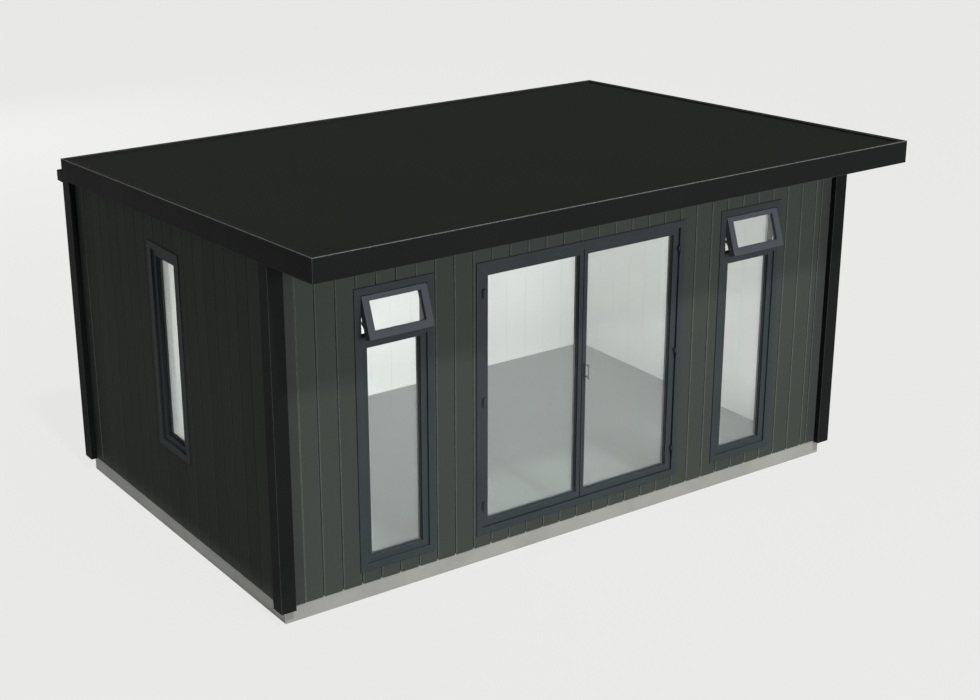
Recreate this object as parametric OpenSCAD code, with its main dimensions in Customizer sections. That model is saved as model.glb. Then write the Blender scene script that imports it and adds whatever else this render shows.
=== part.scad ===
// Garden office pod: a one-room insulated cabin on a low plinth, clad in upright boards,
// with glazed double doors, three narrow windows and a single-pitch roof that falls to the back.
// The origin is on the ground at the middle of the plinth. X runs along the front, -Y is the front.

/* [Overall] */
// Length of the plinth along the front
plinth_l = 4800; // [4400:50:7200]
// Depth of the plinth from front to back
plinth_d = 3000; // [2400:50:4800]
// Height of the plinth above the ground
plinth_h = 120; // [90:5:180]
// Height of the roof edge above the ground at the front
roof_front_z = 2635; // [2560:5:3200]
// How much lower the roof edge is at the back
roof_fall = 175; // [60:5:260]
// How far the roof reaches out past the front posts
front_overhang = 550; // [300:10:900]

/* [Walls] */
// Thickness of the insulated wall panels
panel_t = 120; // [80:5:200]
// Thickness of the outside boards
cladding_t = 20; // [12:1:30]
// How far the face of the boards stands out past the plinth
cladding_proud = 5; // [0:1:20]
// How far the boards hang down over the plinth
cladding_drip = 6; // [0:1:40]
// Thickness of the white boards inside
lining_t = 12; // [8:1:20]
// Thickness of the floor boards
floor_t = 22; // [12:1:30]
// How far the floor lies below the top of the plinth
floor_drop = 16; // [0:1:30]

/* [Corner posts] */
// Width of each side of a corner post
post_w = 110; // [80:5:160]
// How far the posts stand out past the plinth
post_proud = 53; // [30:1:80]
// How far the posts hang down over the plinth
post_drip = 14; // [0:1:60]

/* [Roof] */
// Height of the fascia boards
fascia_h = 160; // [120:5:260]
// Thickness of the fascia boards
fascia_t = 22; // [15:1:40]
// Width of the metal trim along the roof edge
trim_w = 40; // [25:1:80]
// How far the trim stands up above the roof sheet
trim_rise = 10; // [4:1:30]
// Thickness of the metal trim
trim_t = 3; // [2:1:6]
// Thickness of the rubber roof sheet
membrane_t = 4; // [2:1:8]
// Thickness of the soffit board under the overhang
soffit_t = 12; // [8:1:20]
// Thickness of the ceiling boards
ceiling_t = 12; // [8:1:20]
// Clearance where a piece meets the sloped underside of another
seam = 0.1; // [0.05:0.05:0.5]

/* [Gutter] */
// Width of the gutter from the fascia outwards
gutter_w = 92; // [70:1:140]
// Height of the gutter
gutter_h = 78; // [60:1:110]
// How far the gutter hangs below the fascia
gutter_drop = 20; // [0:1:40]
// Wall thickness of the gutter
gutter_t = 3; // [2:1:5]
// Number of gutter brackets
gutter_brackets = 6; // [3:1:12]

/* [Openings] */
// Height of the bottom of the door and front windows above the ground
front_sill_z = 205; // [180:5:400]
// Height of the top of the door and windows above the ground
head_z = 2165; // [2000:5:2250]
// Width of the door frame
door_w = 1800; // [1500:10:2000]
// Width of each front window
window_w = 590; // [450:10:640]
// Distance from the end of the plinth to the nearest front window
window_end = 570; // [500:10:600]
// Width of the side window
side_w = 465; // [350:5:900]
// Height of the bottom of the side window above the ground
side_sill_z = 665; // [300:5:1200]

/* [Frames] */
// Width of the outer frame bars
frame_face = 48; // [35:1:70]
// Depth of the frames through the wall
frame_depth = 70; // [60:1:100]
// How far the frames stand out past the boards
frame_proud = 6; // [0:1:20]
// Width of the sash and leaf bars
sash_face = 46; // [35:1:70]
// How far the sashes and leaves are set back from the face of their frame
sash_setback = 14; // [6:1:20]
// Depth of the sashes and leaves
sash_depth = 52; // [50:1:60]
// How far the glass is set back from the face of its sash
glass_setback = 30; // [15:1:32]
// Thickness of the sealed double glazing
glass_t = 20; // [6:1:22]
// Width of each of the two slim bars that meet in the middle of the door
stile_w = 32; // [25:1:60]
// Gap all round each door leaf
leaf_gap = 5; // [5:1:8]
// Gap between the two door leaves where they meet
meeting_gap = 6; // [5:1:10]
// How much the meeting edge of each leaf is bevelled back towards the inside
edge_bevel = 4; // [3:0.5:6]

/* [Fanlights] */
// Height of the fanlight sash
fan_h = 280; // [200:5:400]
// Gap round the fanlight sash
fan_gap = 4; // [2:1:8]
// Angle that the fanlights stand open
fan_angle = 20; // [5:1:30]
// Depth of the fanlight sash
fan_depth = 55; // [25:1:60]
// Width of the top bar of the fanlight sash
fan_top_bar = 30; // [20:1:60]
// Thickness of the fanlight panes
fan_glass_t = 14; // [6:1:20]
// Height of the bar between fanlight and lower pane
transom_h = 48; // [35:1:70]

/* [Hinges and handle] */
// Radius of the hinge pins
pin_r = 4; // [3:0.5:6]
// Clearance between hinge pin and knuckle
pin_clear = 0.05; // [0.02:0.01:0.1]
// Radius of the hinge knuckles
knuckle_r = 7; // [7:0.5:12]
// Height of each half of a hinge
knuckle_h = 30; // [30:1:60]
// Length of the door handle
handle_l = 120; // [90:5:300]
// Height of the middle of the door handle above the ground
handle_z = 1225; // [1000:5:1300]

/* [Hidden] */
$fn = 48;

far = 10000;                                    // longer than the whole building
half_l = plinth_l / 2;
half_d = plinth_d / 2;

// Faces of the wall layers, measured out from the middle of the pod
face_x = half_l + cladding_proud;               // outside face of the boards, at the ends
face_y = half_d + cladding_proud;               // outside face of the boards, front and back
panel_x = face_x - cladding_t;                  // outside face of the insulated panels
panel_y = face_y - cladding_t;
room_x = panel_x - panel_t;                     // inside face of the insulated panels
room_y = panel_y - panel_t;
lined_x = room_x - lining_t;                    // inside face of the white boards
lined_y = room_y - lining_t;
post_x = half_l + post_proud;                   // outside faces of the corner posts
post_y = half_d + post_proud;

// The roof
roof_front_y = -post_y - front_overhang;
roof_back_y = post_y;
slope = atan(roof_fall / (roof_back_y - roof_front_y));
function roof_z(y, drop = 0) =
    roof_front_z - drop - (y - roof_front_y) * tan(slope);
deck_drop = trim_t + trim_rise + membrane_t;    // from the top edge down to the top of the deck
deck_under = fascia_h - soffit_t;               // from the top edge down to the underside of the deck

// Heights
wall_z = plinth_h;
floor_z = plinth_h - floor_drop;
cladding_z = plinth_h - cladding_drip;
post_z = plinth_h - post_drip;
fan_top = head_z - frame_face - fan_gap;
fan_bottom = fan_top - fan_h;
transom_z = fan_bottom - fan_gap - transom_h;   // underside of the transom

// Windows and frames
window_x = half_l - window_end - window_w / 2;  // middle of each front window
frame_y = -face_y - frame_proud;                // outside face of the front frames
frame_x = -face_x - frame_proud;                // outside face of the side window frame
leaf_y = frame_y + sash_setback;                // outside face of the door leaves
leaf_l = door_w / 2 - frame_face - leaf_gap - meeting_gap / 2;
leaf_bottom = front_sill_z + frame_face + leaf_gap;
leaf_top = head_z - frame_face - leaf_gap;

// The hinge axis stands just proud of the frame, over the gap beside the leaf
hinge_x = door_w / 2 - frame_face - leaf_gap / 2;
hinge_y = frame_y - knuckle_r - 1;
hinge_gap = 0.3;                                // between the two halves of a hinge
hinge_plate_w = 16;
hinge_plate_t = 3;
hinge_heights = [leaf_bottom + 160, (leaf_bottom + leaf_top) / 2, leaf_top - 160];

board_colour = [0.27, 0.29, 0.275];
frame_colour = [0.19, 0.22, 0.235];
black_colour = [0.13, 0.14, 0.145];
steel_colour = [0.62, 0.62, 0.6];
white_colour = [0.9, 0.9, 0.88];
glass_colour = [0.8, 0.87, 0.87, 0.35];

// A block given by its low and high corners
module block(low, high) {
    translate(low)
        cube(high - low);
}

// An outline in Y and Z, pushed out along X from x0 to x1
module along_x(x0, x1, outline) {
    translate([x0, 0, 0])
        rotate([90, 0, 90])
            linear_extrude(x1 - x0)
                polygon(outline);
}

// A slab that follows the roof: drop0 and drop1 are depths below the top edge
module roof_slab(x0, x1, y0, y1, drop0, drop1) {
    along_x(x0, x1, [
        [y0, roof_z(y0, drop1)], [y1, roof_z(y1, drop1)],
        [y1, roof_z(y1, drop0)], [y0, roof_z(y0, drop0)]
    ]);
}

// A wall layer from z0 up to the underside of the roof deck
module wall_block(x0, x1, y0, y1, z0) {
    along_x(x0, x1, [
        [y0, z0], [y1, z0],
        [y1, roof_z(y1, deck_under + seam)], [y0, roof_z(y0, deck_under + seam)]
    ]);
}

// The holes through the front wall and the side wall
module front_openings() {
    block([-door_w / 2, -far, front_sill_z], [door_w / 2, 0, head_z]);
    for (side = [-1, 1])
        block([side * window_x - window_w / 2, -far, front_sill_z],
              [side * window_x + window_w / 2, 0, head_z]);
}

module side_opening() {
    block([-far, -side_w / 2, side_sill_z], [0, side_w / 2, head_z]);
}

// A ring of bars round an opening, in X and Z, with its outside face at y0
module ring(x0, x1, z0, z1, y0, depth, side, bottom, top) {
    difference() {
        block([x0, y0, z0], [x1, y0 + depth, z1]);
        block([x0 + side, -far, z0 + bottom], [x1 - side, far, z1 - top]);
    }
}

// The outer form of the plinth, which the boards and posts are also cut back to
module plinth_block() {
    block([-half_l, -half_d, 0], [half_l, half_d, plinth_h]);
}

// A slab with a low kerb round it, which the walls stand on
module base_plinth() {
    color([0.67, 0.67, 0.65])
        difference() {
            plinth_block();
            block([-room_x, -room_y, floor_z - floor_t], [room_x, room_y, far]);
        }
}

module floor_deck() {
    color([0.62, 0.63, 0.62])
        block([-room_x, -room_y, floor_z - floor_t], [room_x, room_y, floor_z]);
}

// The front panel on one side of the door, with its window cut through
module front_wall_end(side) {
    x0 = side < 0 ? -panel_x : door_w / 2;
    x1 = side < 0 ? -door_w / 2 : panel_x;
    color(white_colour)
        difference() {
            wall_block(x0, x1, -panel_y, -room_y, wall_z);
            front_openings();
        }
}

module front_wall_left() {
    front_wall_end(-1);
}

module front_wall_right() {
    front_wall_end(1);
}

module front_wall_header() {
    color(white_colour)
        wall_block(-door_w / 2, door_w / 2, -panel_y, -room_y, head_z);
}

module front_wall_base() {
    color(white_colour)
        block([-door_w / 2, -panel_y, wall_z], [door_w / 2, -room_y, front_sill_z]);
}

module left_wall() {
    color(white_colour)
        difference() {
            wall_block(-panel_x, -room_x, -room_y, room_y, wall_z);
            side_opening();
        }
}

module right_wall() {
    color(white_colour)
        wall_block(room_x, panel_x, -room_y, room_y, wall_z);
}

module back_wall() {
    color(white_colour)
        wall_block(-panel_x, panel_x, room_y, panel_y, wall_z);
}

// The board skins run between the corner posts and lap down over the plinth
module front_cladding() {
    end = post_x - post_w;
    color(board_colour)
        difference() {
            wall_block(-end, end, -face_y, -panel_y, cladding_z);
            front_openings();
            plinth_block();
        }
}

module back_cladding() {
    end = post_x - post_w;
    color(board_colour)
        difference() {
            wall_block(-end, end, panel_y, face_y, cladding_z);
            plinth_block();
        }
}

module left_cladding() {
    end = post_y - post_w;
    color(board_colour)
        difference() {
            wall_block(-face_x, -panel_x, -end, end, cladding_z);
            side_opening();
            plinth_block();
        }
}

module right_cladding() {
    end = post_y - post_w;
    color(board_colour)
        difference() {
            wall_block(panel_x, face_x, -end, end, cladding_z);
            plinth_block();
        }
}

// One shell of white boards round the room
module wall_lining() {
    color(white_colour)
        difference() {
            wall_block(-room_x, room_x, -room_y, room_y, floor_z);
            block([-lined_x, -lined_y, 0], [lined_x, lined_y, far]);
            front_openings();
            side_opening();
        }
}

module ceiling() {
    color(white_colour)
        roof_slab(-lined_x, lined_x, -lined_y, lined_y, deck_under + seam,
                  deck_under + ceiling_t);
}

module roof_deck() {
    color([0.55, 0.47, 0.36])
        roof_slab(-post_x + fascia_t, post_x - fascia_t,
                  roof_front_y + fascia_t, roof_back_y - fascia_t, deck_drop, deck_under);
}

module roof_membrane() {
    color([0.15, 0.155, 0.14])
        roof_slab(-post_x + fascia_t, post_x - fascia_t,
                  roof_front_y + fascia_t, roof_back_y - fascia_t,
                  trim_t + trim_rise, deck_drop);
}

// A flat metal ring on the fascia boards, with a lip down to the roof sheet
module roof_edge_trim() {
    color([0.33, 0.345, 0.345])
        difference() {
            roof_slab(-post_x, post_x, roof_front_y, roof_back_y, 0, trim_t + trim_rise - seam);
            roof_slab(-post_x + trim_w, post_x - trim_w,
                      roof_front_y + trim_w, roof_back_y - trim_w, -far, far);
            difference() {
                roof_slab(-far, far, -far, far, trim_t, far);
                roof_slab(-post_x + trim_w - trim_t, post_x - trim_w + trim_t,
                          roof_front_y + trim_w - trim_t, roof_back_y - trim_w + trim_t,
                          -far, far);
            }
        }
}

// Front and back fascia boards run the full length, the end boards fit between them
module front_fascia() {
    color(black_colour)
        roof_slab(-post_x, post_x, roof_front_y, roof_front_y + fascia_t, trim_t + seam,
                  fascia_h);
}

module back_fascia() {
    color(black_colour)
        roof_slab(-post_x, post_x, roof_back_y - fascia_t, roof_back_y, trim_t + seam,
                  fascia_h);
}

module end_fascia(side) {
    color(black_colour)
        roof_slab(side < 0 ? -post_x : post_x - fascia_t, side < 0 ? -post_x + fascia_t : post_x,
                  roof_front_y + fascia_t, roof_back_y - fascia_t, trim_t + seam, fascia_h);
}

module left_fascia() {
    end_fascia(-1);
}

module right_fascia() {
    end_fascia(1);
}

module front_soffit() {
    color(black_colour)
        roof_slab(-post_x + fascia_t, post_x - fascia_t,
                  roof_front_y + fascia_t, -face_y, deck_under + seam, fascia_h);
}

// A square post cut back where it wraps the panels, the plinth and the roof edge
module corner_post(side_x, side_y) {
    x0 = side_x < 0 ? -post_x : post_x - post_w;
    y0 = side_y < 0 ? -post_y : post_y - post_w;
    color(black_colour)
        difference() {
            along_x(x0, x0 + post_w, [
                [y0, post_z], [y0 + post_w, post_z],
                [y0 + post_w, roof_z(y0 + post_w, fascia_h + seam)],
                [y0, roof_z(y0, fascia_h + seam)]
            ]);
            block([-panel_x, -panel_y, wall_z - 1], [panel_x, panel_y, far]);
            plinth_block();
        }
}

module front_left_post() {
    corner_post(-1, -1);
}

module front_right_post() {
    corner_post(1, -1);
}

module back_left_post() {
    corner_post(-1, 1);
}

module back_right_post() {
    corner_post(1, 1);
}

// A box gutter open at the top, with stop ends and strap brackets
module rear_gutter() {
    top = roof_z(roof_back_y, fascia_h) - gutter_drop + gutter_h;
    strap_w = 25;
    color(black_colour) {
        difference() {
            block([-post_x, roof_back_y, top - gutter_h], [post_x, roof_back_y + gutter_w, top]);
            block([-post_x + gutter_t, roof_back_y + gutter_t, top - gutter_h + gutter_t],
                  [post_x - gutter_t, roof_back_y + gutter_w - gutter_t, far]);
        }
        for (n = [0 : gutter_brackets - 1]) {
            x = -post_x + 150 + n * (2 * post_x - 300) / (gutter_brackets - 1);
            block([x - strap_w / 2, roof_back_y, top - gutter_t],
                  [x + strap_w / 2, roof_back_y + gutter_w, top]);
        }
    }
}

// The outer frame of the door
module door_frame() {
    color(frame_colour)
        ring(-door_w / 2, door_w / 2, front_sill_z, head_z, frame_y, frame_depth,
             frame_face, frame_face, frame_face);
}

// A glazed leaf, drawn for the left side with its meeting edge bevelled, and mirrored for the right
module door_leaf(side) {
    x0 = -door_w / 2 + frame_face + leaf_gap;
    x1 = x0 + leaf_l;
    inner_y = leaf_y + sash_depth;
    color(frame_colour)
        mirror([side > 0 ? 1 : 0, 0, 0])
            difference() {
                translate([0, 0, leaf_bottom])
                    linear_extrude(leaf_top - leaf_bottom)
                        polygon([[x0, leaf_y], [x1, leaf_y], [x1 - edge_bevel, inner_y],
                                 [x0, inner_y]]);
                block([x0 + sash_face, -far, leaf_bottom + sash_face],
                      [x1 - stile_w, far, leaf_top - sash_face]);
            }
}

module door_glass(side) {
    x0 = -door_w / 2 + frame_face + leaf_gap;
    glass_y = leaf_y + glass_setback;
    color(glass_colour)
        mirror([side > 0 ? 1 : 0, 0, 0])
            block([x0 + sash_face, glass_y, leaf_bottom + sash_face],
                  [x0 + leaf_l - stile_w, glass_y + glass_t, leaf_top - sash_face]);
}

module left_door_leaf() {
    door_leaf(-1);
}

module left_door_glass() {
    door_glass(-1);
}

module right_door_leaf() {
    door_leaf(1);
}

module right_door_glass() {
    door_glass(1);
}

// A bar handle on two short posts, outside and inside, on the slim bar of the right leaf
module door_handle() {
    bar_r = 5;
    stand_off = 52;
    x = (meeting_gap + stile_w) / 2;
    color(steel_colour)
        for (side = [-1, 1]) {
            face = side < 0 ? leaf_y : leaf_y + sash_depth;
            bar_y = face + side * stand_off;
            translate([x, bar_y, handle_z - handle_l / 2])
                cylinder(r = bar_r, h = handle_l);
            for (end = [-1, 1])
                translate([x, face, handle_z + end * (handle_l / 2 - 18)])
                    rotate([side < 0 ? 90 : -90, 0, 0])
                        cylinder(r = 4, h = stand_off);
        }
}

// Hinges: the lower half with the pin is on the frame, the upper half is on the leaf
module frame_hinges() {
    color(frame_colour)
        for (side = [-1, 1], z = hinge_heights) {
            translate([side * hinge_x, hinge_y, z - knuckle_h])
                cylinder(r = knuckle_r, h = knuckle_h);
            translate([side * hinge_x, hinge_y, z])
                cylinder(r = pin_r, h = knuckle_h - 5);
            x = side * hinge_x;
            outer = side * (hinge_x + hinge_plate_w);
            block([min(x, outer), frame_y - hinge_plate_t, z - knuckle_h],
                  [max(x, outer), frame_y, z]);
        }
}

module leaf_hinges(side) {
    color(frame_colour)
        for (z = hinge_heights) {
            x = side * hinge_x;
            inner = side * (hinge_x - hinge_plate_w);
            difference() {
                union() {
                    translate([x, hinge_y, z + hinge_gap])
                        cylinder(r = knuckle_r, h = knuckle_h);
                    block([min(x, inner), hinge_y, z + hinge_gap],
                          [max(x, inner), hinge_y + hinge_plate_t, z + hinge_gap + knuckle_h]);
                    block([min(inner, inner + side * hinge_plate_t), hinge_y, z + hinge_gap],
                          [max(inner, inner + side * hinge_plate_t), leaf_y,
                           z + hinge_gap + knuckle_h]);
                }
                translate([x, hinge_y, z - 1])
                    cylinder(r = pin_r + pin_clear, h = knuckle_h + 3);
            }
        }
}

module left_leaf_hinges() {
    leaf_hinges(-1);
}

module right_leaf_hinges() {
    leaf_hinges(1);
}

// A tall window: a frame with a transom, and a fixed inner ring round the lower pane
module window_frame(side) {
    x0 = side * window_x - window_w / 2;
    x1 = side * window_x + window_w / 2;
    color(frame_colour) {
        difference() {
            block([x0, frame_y, front_sill_z], [x1, frame_y + frame_depth, head_z]);
            block([x0 + frame_face, -far, front_sill_z + frame_face],
                  [x1 - frame_face, far, transom_z]);
            block([x0 + frame_face, -far, transom_z + transom_h],
                  [x1 - frame_face, far, head_z - frame_face]);
        }
        ring(x0 + frame_face, x1 - frame_face, front_sill_z + frame_face, transom_z,
             leaf_y, sash_depth, sash_face, sash_face, sash_face / 2);
    }
}

module window_glass(side) {
    x0 = side * window_x - window_w / 2 + frame_face + sash_face;
    x1 = side * window_x + window_w / 2 - frame_face - sash_face;
    glass_y = leaf_y + glass_setback;
    color(glass_colour)
        block([x0, glass_y, front_sill_z + frame_face + sash_face],
              [x1, glass_y + glass_t, transom_z - sash_face / 2]);
}

// Turns a closed fanlight piece about the top outside edge of its sash
module swing_fanlight() {
    translate([0, frame_y, fan_top])
        rotate([-fan_angle, 0, 0])
            translate([0, -frame_y, -fan_top])
                children();
}

module fanlight_sash(side) {
    half = window_w / 2 - frame_face - fan_gap;
    color(frame_colour)
        swing_fanlight()
            ring(side * window_x - half, side * window_x + half, fan_bottom, fan_top,
                 frame_y, fan_depth, sash_face, sash_face, fan_top_bar);
}

module fanlight_glass() {
    half = window_w / 2 - frame_face - fan_gap - sash_face;
    pane_y = frame_y + (fan_depth - fan_glass_t) / 2;
    color(glass_colour)
        for (side = [-1, 1])
            swing_fanlight()
                block([side * window_x - half, pane_y, fan_bottom + sash_face],
                      [side * window_x + half, pane_y + fan_glass_t, fan_top - fan_top_bar]);
}

// Friction stays: a track on each jamb of the fanlight, and an arm riveted to it out to the sash
module fanlight_stays() {
    layer = fan_gap / 2;
    slip = 0.2;
    rivet_r = 5;
    jamb = window_w / 2 - frame_face;
    bar_w = 14;
    track_y = frame_y + fan_depth / 2;
    pivot = [track_y - frame_y, -0.55 * fan_h];
    reach = [track_y - frame_y, -0.8 * fan_h];
    sash_end = [reach[0] * cos(fan_angle) + reach[1] * sin(fan_angle),
                -reach[0] * sin(fan_angle) + reach[1] * cos(fan_angle)];
    step = sash_end - pivot;
    color(steel_colour)
        for (side = [-1, 1], jamb_side = [-1, 1]) {
            jamb_x = side * window_x + jamb_side * jamb;
            layer_x = jamb_x - jamb_side * layer;
            sash_x = jamb_x - jamb_side * fan_gap;
            block([min(jamb_x, layer_x), track_y - bar_w / 2, fan_bottom],
                  [max(jamb_x, layer_x), track_y + bar_w / 2, fan_top]);
            translate([min(jamb_x, sash_x), frame_y + pivot[0], fan_top + pivot[1]])
                rotate([0, 90, 0])
                    cylinder(r = rivet_r, h = fan_gap);
            translate([min(layer_x - jamb_side * slip, sash_x), frame_y + pivot[0],
                       fan_top + pivot[1]])
                rotate([atan2(step[1], step[0]), 0, 0])
                    translate([0, -bar_w / 2, -bar_w / 2])
                        cube([layer - slip, norm(step) + bar_w, bar_w]);
        }
}

module left_window_frame() {
    window_frame(-1);
}

module left_window_glass() {
    window_glass(-1);
}

module left_fanlight() {
    fanlight_sash(-1);
}

module right_window_frame() {
    window_frame(1);
}

module right_window_glass() {
    window_glass(1);
}

module right_fanlight() {
    fanlight_sash(1);
}

// The side window has one fixed pane
module side_window_frame() {
    color(frame_colour)
        rotate([0, 0, -90]) {
            ring(-side_w / 2, side_w / 2, side_sill_z, head_z, frame_x, frame_depth,
                 frame_face, frame_face, frame_face);
            ring(-side_w / 2 + frame_face, side_w / 2 - frame_face,
                 side_sill_z + frame_face, head_z - frame_face,
                 frame_x + sash_setback, sash_depth, sash_face, sash_face, sash_face);
        }
}

module side_window_glass() {
    inset = frame_face + sash_face;
    glass_x = frame_x + sash_setback + glass_setback;
    color(glass_colour)
        block([glass_x, -side_w / 2 + inset, side_sill_z + inset],
              [glass_x + glass_t, side_w / 2 - inset, head_z - inset]);
}

base_plinth();
floor_deck();
front_wall_left();
front_wall_right();
front_wall_header();
front_wall_base();
left_wall();
right_wall();
back_wall();
front_cladding();
left_cladding();
right_cladding();
back_cladding();
wall_lining();
ceiling();
roof_deck();
roof_membrane();
roof_edge_trim();
front_fascia();
back_fascia();
left_fascia();
right_fascia();
front_soffit();
front_left_post();
front_right_post();
back_left_post();
back_right_post();
rear_gutter();
door_frame();
left_door_leaf();
left_door_glass();
right_door_leaf();
right_door_glass();
door_handle();
frame_hinges();
left_leaf_hinges();
right_leaf_hinges();
left_window_frame();
left_window_glass();
left_fanlight();
right_window_frame();
right_window_glass();
right_fanlight();
side_window_frame();
side_window_glass();
fanlight_glass();
fanlight_stays();
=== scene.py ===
# %% [markdown]
# A garden office pod is a single insulated room under a shallow sloping roof. Dark grooved boards
# clad it outside, white boards line it inside, and slim dark frames hold the glass. This lesson
# builds its looks round a fixed engineering model: every wall, bar and hinge already has its true
# place, so each piece here is worked out from that model and never from a guess.

# %% Load the fixed model
import math
import random

import bmesh
import bpy
from mathutils import Matrix, Vector


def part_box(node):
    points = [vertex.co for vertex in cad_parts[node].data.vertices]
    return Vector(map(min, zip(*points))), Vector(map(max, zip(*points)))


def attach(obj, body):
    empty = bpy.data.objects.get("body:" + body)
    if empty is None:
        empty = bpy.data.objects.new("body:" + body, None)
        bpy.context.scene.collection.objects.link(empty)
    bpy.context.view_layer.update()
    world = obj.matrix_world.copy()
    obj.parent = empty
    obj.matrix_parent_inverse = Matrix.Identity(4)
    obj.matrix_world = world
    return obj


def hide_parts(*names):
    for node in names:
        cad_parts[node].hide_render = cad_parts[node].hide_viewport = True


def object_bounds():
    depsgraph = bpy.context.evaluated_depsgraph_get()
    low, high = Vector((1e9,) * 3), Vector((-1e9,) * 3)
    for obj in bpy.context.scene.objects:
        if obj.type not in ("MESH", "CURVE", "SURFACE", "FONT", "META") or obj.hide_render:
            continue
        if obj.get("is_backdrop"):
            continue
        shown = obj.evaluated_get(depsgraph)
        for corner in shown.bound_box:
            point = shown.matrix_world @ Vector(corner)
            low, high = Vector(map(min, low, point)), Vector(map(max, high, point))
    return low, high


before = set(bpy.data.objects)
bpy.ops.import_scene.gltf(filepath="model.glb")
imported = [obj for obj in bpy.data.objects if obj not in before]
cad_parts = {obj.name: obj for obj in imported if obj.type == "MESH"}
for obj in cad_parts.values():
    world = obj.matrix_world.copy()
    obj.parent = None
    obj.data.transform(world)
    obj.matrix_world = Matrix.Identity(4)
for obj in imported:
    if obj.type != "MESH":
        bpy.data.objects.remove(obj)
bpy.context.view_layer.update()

mm = 0.001
scene = bpy.context.scene

# %% [markdown]
# The camera stands in front of the left corner and looks down a little, so that the front, the
# left end and the whole roof show at once. A long lens keeps upright edges nearly parallel. The
# place, the turn and the lens are three plain settings, which is easier to read than a target.

# %% Camera
camera_data = bpy.data.cameras.new("camera")
camera_data.lens = 64.35
camera_data.sensor_width = 36.0
camera = bpy.data.objects.new("camera", camera_data)
camera.location = (-7.109, -10.390, 5.590)
camera.rotation_euler = (math.radians(69.65), math.radians(-0.08), math.radians(-35.39))
scene.collection.objects.link(camera)
scene.camera = camera
scene.view_settings.view_transform = "Standard"
print("camera at", tuple(camera.location), "lens", camera_data.lens)

# %% [markdown]
# The stage is a plain pale floor, so large that its edge is never seen. It is mostly lit from
# within, as a light table is, so that it stays pale and even right up to the pod. One big
# soft panel in front lights the boards evenly, a weaker one does the same for the back, and a sun
# above the front draws the soft shadow of the roof edge on the wall. A low strip of light at the
# left end lifts the plinth there, as pale paving would. Panels inside light the white room, because
# glass in dark frames lets in too little by itself.

# %% Stage floor
def light_table():
    """A pale sheet that glows to the camera and lights the pod only softly."""
    material = bpy.data.materials.new("light_table")
    material.use_nodes = True
    tree = material.node_tree
    glow = tree.nodes.new("ShaderNodeEmission")
    glow.inputs["Color"].default_value = (1.0, 1.0, 0.985, 1)
    glow.inputs["Strength"].default_value = 0.765
    shade = tree.nodes.new("ShaderNodeBsdfDiffuse")
    shade.inputs["Color"].default_value = (0.05, 0.05, 0.049, 1)
    seen = tree.nodes.new("ShaderNodeAddShader")
    tree.links.new(glow.outputs["Emission"], seen.inputs[0])
    tree.links.new(shade.outputs["BSDF"], seen.inputs[1])
    unseen = tree.nodes.new("ShaderNodeBsdfDiffuse")
    unseen.inputs["Color"].default_value = (0.43, 0.43, 0.425, 1)
    path = tree.nodes.new("ShaderNodeLightPath")
    choose = tree.nodes.new("ShaderNodeMixShader")
    tree.links.new(path.outputs["Is Camera Ray"], choose.inputs["Fac"])
    tree.links.new(unseen.outputs["BSDF"], choose.inputs[1])
    tree.links.new(seen.outputs["Shader"], choose.inputs[2])
    tree.links.new(choose.outputs["Shader"], tree.nodes["Material Output"].inputs["Surface"])
    return material


def stage_floor(width):
    """A flat sheet under the pod, which isn't part of it."""
    bm = bmesh.new()
    bmesh.ops.create_grid(bm, x_segments=1, y_segments=1, size=width / 2)
    mesh = bpy.data.meshes.new("stage_floor")
    bm.to_mesh(mesh)
    bm.free()
    floor = bpy.data.objects.new("stage_floor", mesh)
    scene.collection.objects.link(floor)
    mesh.materials.append(light_table())
    floor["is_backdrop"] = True
    return floor


stage_floor(width=160)
print("stage floor laid")


# %% Lights outside
def aimed(name, data, place, target):
    """Puts a light at a place, turned towards a target."""
    light = bpy.data.objects.new(name, data)
    light.location = place
    light.rotation_euler = (Vector(target) - Vector(place)).to_track_quat("-Z", "Y").to_euler()
    scene.collection.objects.link(light)
    return light


def soft_panel(name, watts, size, place, target):
    """A rectangular studio light that the camera doesn't see."""
    data = bpy.data.lights.new(name, "AREA")
    data.shape = "RECTANGLE"
    data.size, data.size_y = size
    data.energy = watts
    light = aimed(name, data, place, target)
    light.visible_camera = False
    light.visible_glossy = False
    light.visible_transmission = False
    return light


sun_data = bpy.data.lights.new("sun", "SUN")
sun_data.energy = 2.1
sun_data.angle = math.radians(4.3)
sun_height = math.radians(57)
aimed("sun", sun_data, (-0.5, -10 * math.cos(sun_height), 10 * math.sin(sun_height)), (0, 0, 0))
pod_middle = (0, 0, 1.2)
soft_panel("front_panel", 1400, (6, 5), (1.5, -14, 3.9), pod_middle)
soft_panel("back_panel", 700, (6, 4), (0, 14, 4.5), pod_middle)

# %% Lights in the room, low light and sky
behind_glass, back_wall, eye_height, panel_height = -1.30, 1.3, 1.25, 1.9
for name, watts, width, x in (("room_panel", 22, 4.4, 0), ("left_end_panel", 16, 1.2, -1.6),
                              ("right_end_panel", 16, 1.2, 1.6)):
    panel = soft_panel(name, watts, (width, panel_height), (x, behind_glass, eye_height),
                       (x, back_wall, eye_height))
    panel.data.spread = math.radians(105)
ceiling_panel = soft_panel("ceiling_panel", 5, (4.2, 1.2), (0, 0, 2.28), (0, 0, 0))
ceiling_panel.data.spread = math.radians(110)
near_ground = 0.07
low_panel = soft_panel("low_panel", 0.75, (3.4, 0.08), (-4.4, 0, near_ground), (-2.4, 0, near_ground))
low_panel.data.spread = math.radians(9)

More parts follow.
